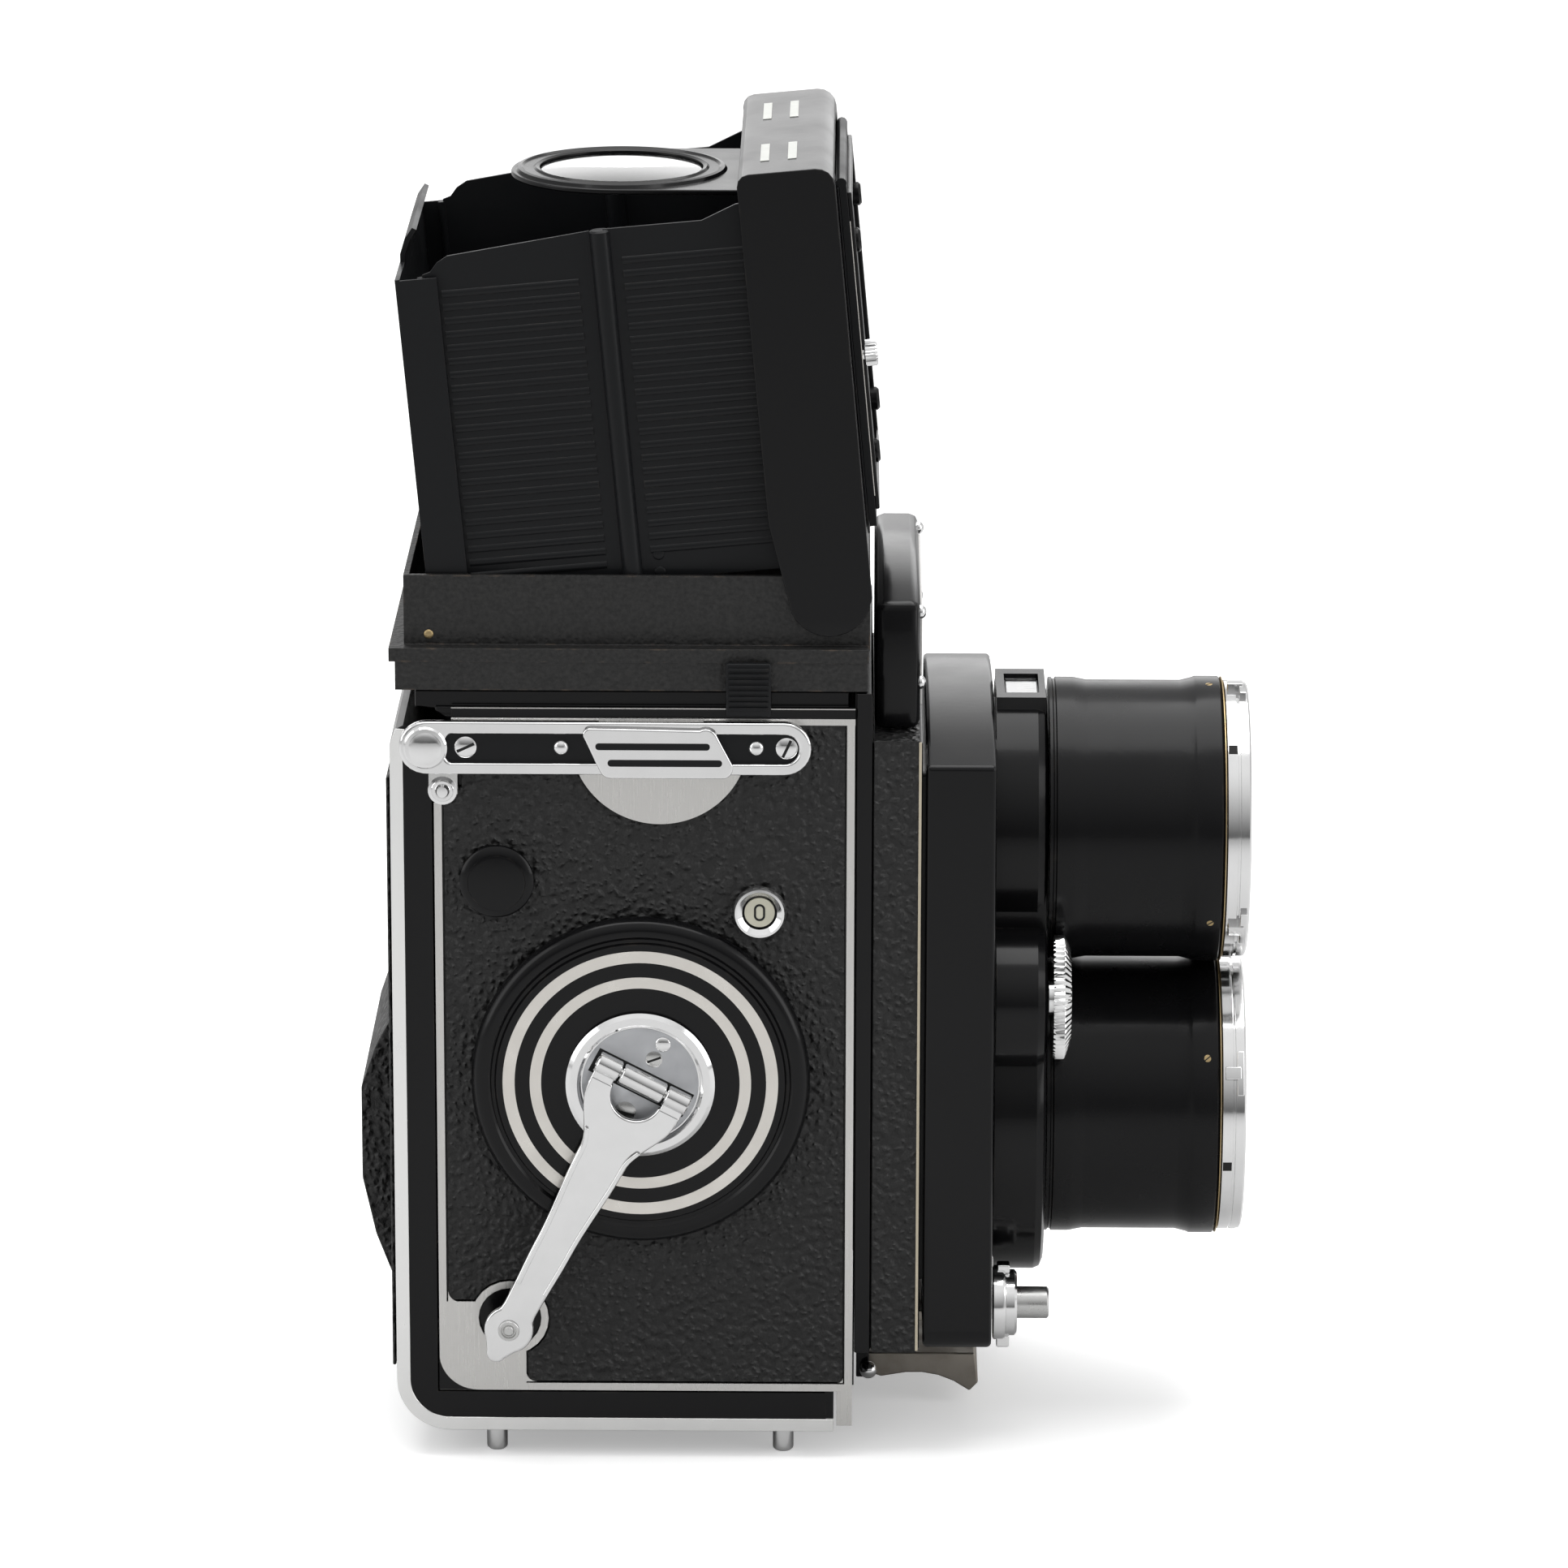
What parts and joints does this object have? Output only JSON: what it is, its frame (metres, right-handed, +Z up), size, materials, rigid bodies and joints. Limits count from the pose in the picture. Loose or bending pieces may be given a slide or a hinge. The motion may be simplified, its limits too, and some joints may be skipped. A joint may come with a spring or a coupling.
{
  "type": "twin lens reflex camera",
  "caption": "twin lens reflex camera with long lenses, open folding hood, folded winding crank, hinged back and sliding lens carrier",
  "frame": {"origin": "centre of the bounding box on the plane the feet stand on", "axes": "+Z up; lenses point to -Y; winding crank side faces -X"},
  "size_m": [0.0955, 0.149, 0.2207],
  "materials": {
    "casting": "semi gloss black enamel",
    "leatherette": "pebbled black",
    "chrome": "polished",
    "satin_chrome": "brushed",
    "crackle": "crackle black paint",
    "optical_glass": "polished",
    "silvering": "front silvered",
    "ivory": "printed disc",
    "steel": "worn plate"
  },
  "bodies": {
    "camera": {"body_casting": "casting", "side_leather_near": "leatherette", "side_leather_far": "leatherette", "side_trim_near": "satin_chrome", "side_trim_far": "satin_chrome", "strap_bar_near": "chrome", "strap_bar_far": "chrome", "mirror": "silvering", "ground_glass": "optical_glass", "meter_housing": "casting", "front_frame": "casting", "front_leather": "leatherette", "crank_dial": "casting", "counter_bezel": "chrome", "side_cap": "casting", "door_pin_near": "chrome", "door_pin_far": "chrome", "hood_base": "crackle", "hood_lid": "casting"},
    "front": {"front_standard": "casting", "lens_panel": "casting", "viewing_tube": "casting", "taking_tube": "casting", "viewing_bayonet": "chrome", "taking_bayonet": "chrome", "viewing_lens": "optical_glass", "taking_lens": "optical_glass", "flash_socket": "chrome"},
    "crank": {"crank_hub": "chrome", "crank_pin": "chrome"},
    "crank_arm": {"crank_arm": "chrome", "crank_knob": "casting"},
    "counter": {"counter_dial": "ivory"},
    "take_up": {"take_up_spool": "casting"},
    "supply": {"supply_spool": "satin_chrome"},
    "upper_spool_knob": {"spool_knob_upper": "chrome"},
    "lower_spool_knob": {"spool_knob_lower": "chrome"},
    "focus_knob": {"focus_knob": "casting"},
    "door": {"back_door": "casting", "back_leather": "leatherette", "pressure_plate": "casting", "foot_rear_near": "chrome", "foot_front_near": "chrome", "foot_rear_far": "chrome", "foot_front_far": "chrome"},
    "latch": {"latch_lever": "steel"},
    "shutter_wheel": {"shutter_speed_wheel": "chrome"},
    "aperture_wheel": {"aperture_wheel": "chrome"},
    "release_collar": {"release_collar": "chrome"},
    "release_button": {"release_button": "chrome"},
    "hood_release_near": {"hood_release_near": "casting"},
    "hood_release_far": {"hood_release_far": "casting"},
    "finder_flap": {"finder_flap": "casting"},
    "near_front": {"wall_near_front": "casting"},
    "near_rear": {"wall_near_rear": "casting"},
    "hood_back": {"wall_back": "casting"},
    "far_front": {"wall_far_front": "casting"},
    "far_rear": {"wall_far_rear": "casting"},
    "magnifier": {"magnifier_frame": "casting", "magnifier_lens": "optical_glass"}
  },
  "joints": [
    {"name": "focus_slide", "type": "slide", "parent": "camera", "child": "front", "axis": [0, -1, 0], "range_m": [0, 0.0074]},
    {"name": "focus_turn", "type": "hinge", "parent": "camera", "child": "focus_knob", "pos_m": [0.03485, 0.0212, 0.063], "axis": [1, 0, 0], "range_deg": [0, 270.1]},
    {"name": "crank_spin", "type": "hinge", "parent": "camera", "child": "crank", "pos_m": [-0.04005, 0.0272, 0.0671], "axis": [-1, 0, 0], "continuous": true},
    {"name": "crank_unfold", "type": "hinge", "parent": "crank", "child": "crank_arm", "pos_m": [-0.04535, 0.02678, 0.0679], "axis": [0, 0.887, 0.4617], "range_deg": [0, 170]},
    {"name": "counter_turn", "type": "hinge", "parent": "camera", "child": "counter", "pos_m": [-0.04035, 0.00745, 0.0962], "axis": [-1, 0, 0], "continuous": true},
    {"name": "take_up_turn", "type": "hinge", "parent": "camera", "child": "take_up", "pos_m": [-0.00275, 0.0509, 0.1013], "axis": [-1, 0, 0], "continuous": true},
    {"name": "supply_turn", "type": "hinge", "parent": "camera", "child": "supply", "pos_m": [-0.00275, 0.0082, 0.0265], "axis": [-1, 0, 0], "continuous": true},
    {"name": "upper_knob_pull", "type": "slide", "parent": "camera", "child": "upper_spool_knob", "axis": [1, 0, 0], "range_m": [0, 0.003]},
    {"name": "lower_knob_pull", "type": "slide", "parent": "camera", "child": "lower_spool_knob", "axis": [1, 0, 0], "range_m": [0, 0.003]},
    {"name": "door_hinge", "type": "hinge", "parent": "camera", "child": "door", "pos_m": [-0.00275, 0.0635, 0.1242], "axis": [1, 0, 0], "range_deg": [0, 110]},
    {"name": "latch_hinge", "type": "hinge", "parent": "camera", "child": "latch", "pos_m": [-0.00275, -0.011, 0.0074], "axis": [1, 0, 0], "range_deg": [0, 60]},
    {"name": "shutter_turn", "type": "hinge", "parent": "front", "child": "shutter_wheel", "pos_m": [-0.02735, -0.0406, 0.07765], "axis": [0, -1, 0], "range_deg": [-150, 150]},
    {"name": "aperture_turn", "type": "hinge", "parent": "front", "child": "aperture_wheel", "pos_m": [0.02185, -0.0406, 0.07765], "axis": [0, -1, 0], "range_deg": [-150, 150]},
    {"name": "release_lock_turn", "type": "hinge", "parent": "front", "child": "release_collar", "pos_m": [-0.02875, -0.0316, 0.024], "axis": [0, -1, 0], "range_deg": [0, 50]},
    {"name": "shutter_release", "type": "slide", "parent": "front", "child": "release_button", "axis": [0, 1, 0], "range_m": [0, 0.003], "stiffness_N_per_m": 150},
    {"name": "hood_release_near_slide", "type": "slide", "parent": "camera", "child": "hood_release_near", "axis": [0, 1, 0], "range_m": [0, 0.003]},
    {"name": "hood_release_far_slide", "type": "slide", "parent": "camera", "child": "hood_release_far", "axis": [0, 1, 0], "range_m": [0, 0.003]},
    {"name": "finder_fold", "type": "hinge", "parent": "camera", "child": "finder_flap", "pos_m": [-0.00275, -0.00513, 0.2165], "axis": [-1, 0, 0], "range_deg": [0, 90]},
    {"name": "near_front_fold", "type": "hinge", "parent": "camera", "child": "near_front", "pos_m": [-0.03455, -0.00211, 0.14943], "axis": [0, 0.0924, 0.9957], "range_deg": [-78, 0]},
    {"name": "near_middle_fold", "type": "hinge", "parent": "near_front", "child": "near_rear", "pos_m": [-0.03455, 0.02762, 0.14668], "axis": [0, 0.0924, 0.9957], "range_deg": [0, 156.1]},
    {"name": "hood_back_fold", "type": "hinge", "parent": "near_rear", "child": "hood_back", "pos_m": [-0.03455, 0.05734, 0.14392], "axis": [0, 0.0924, 0.9957], "range_deg": [-78.1, 0]},
    {"name": "far_front_fold", "type": "hinge", "parent": "camera", "child": "far_front", "pos_m": [0.02905, -0.00211, 0.14943], "axis": [0, 0.0924, 0.9957], "range_deg": [0, 78.1]},
    {"name": "far_middle_fold", "type": "hinge", "parent": "far_front", "child": "far_rear", "pos_m": [0.02905, 0.02762, 0.14668], "axis": [0, 0.0924, 0.9957], "range_deg": [-156.1, 0]},
    {"name": "magnifier_fold", "type": "hinge", "parent": "camera", "child": "magnifier", "pos_m": [-0.00275, -0.00097, 0.2136], "axis": [-1, 0, 0], "range_deg": [0, 90]}
  ],
  "couplings": [
    {"joint": "focus_turn", "follows": "focus_slide", "rad_per_m": 636.81},
    {"joint": "take_up_turn", "follows": "crank_spin", "ratio": 1},
    {"joint": "counter_turn", "follows": "crank_spin", "ratio": -0.0833},
    {"joint": "near_middle_fold", "follows": "near_front_fold", "ratio": -2},
    {"joint": "hood_back_fold", "follows": "near_front_fold", "ratio": 1},
    {"joint": "far_front_fold", "follows": "near_front_fold", "ratio": -1},
    {"joint": "far_middle_fold", "follows": "near_front_fold", "ratio": 2}
  ]
}
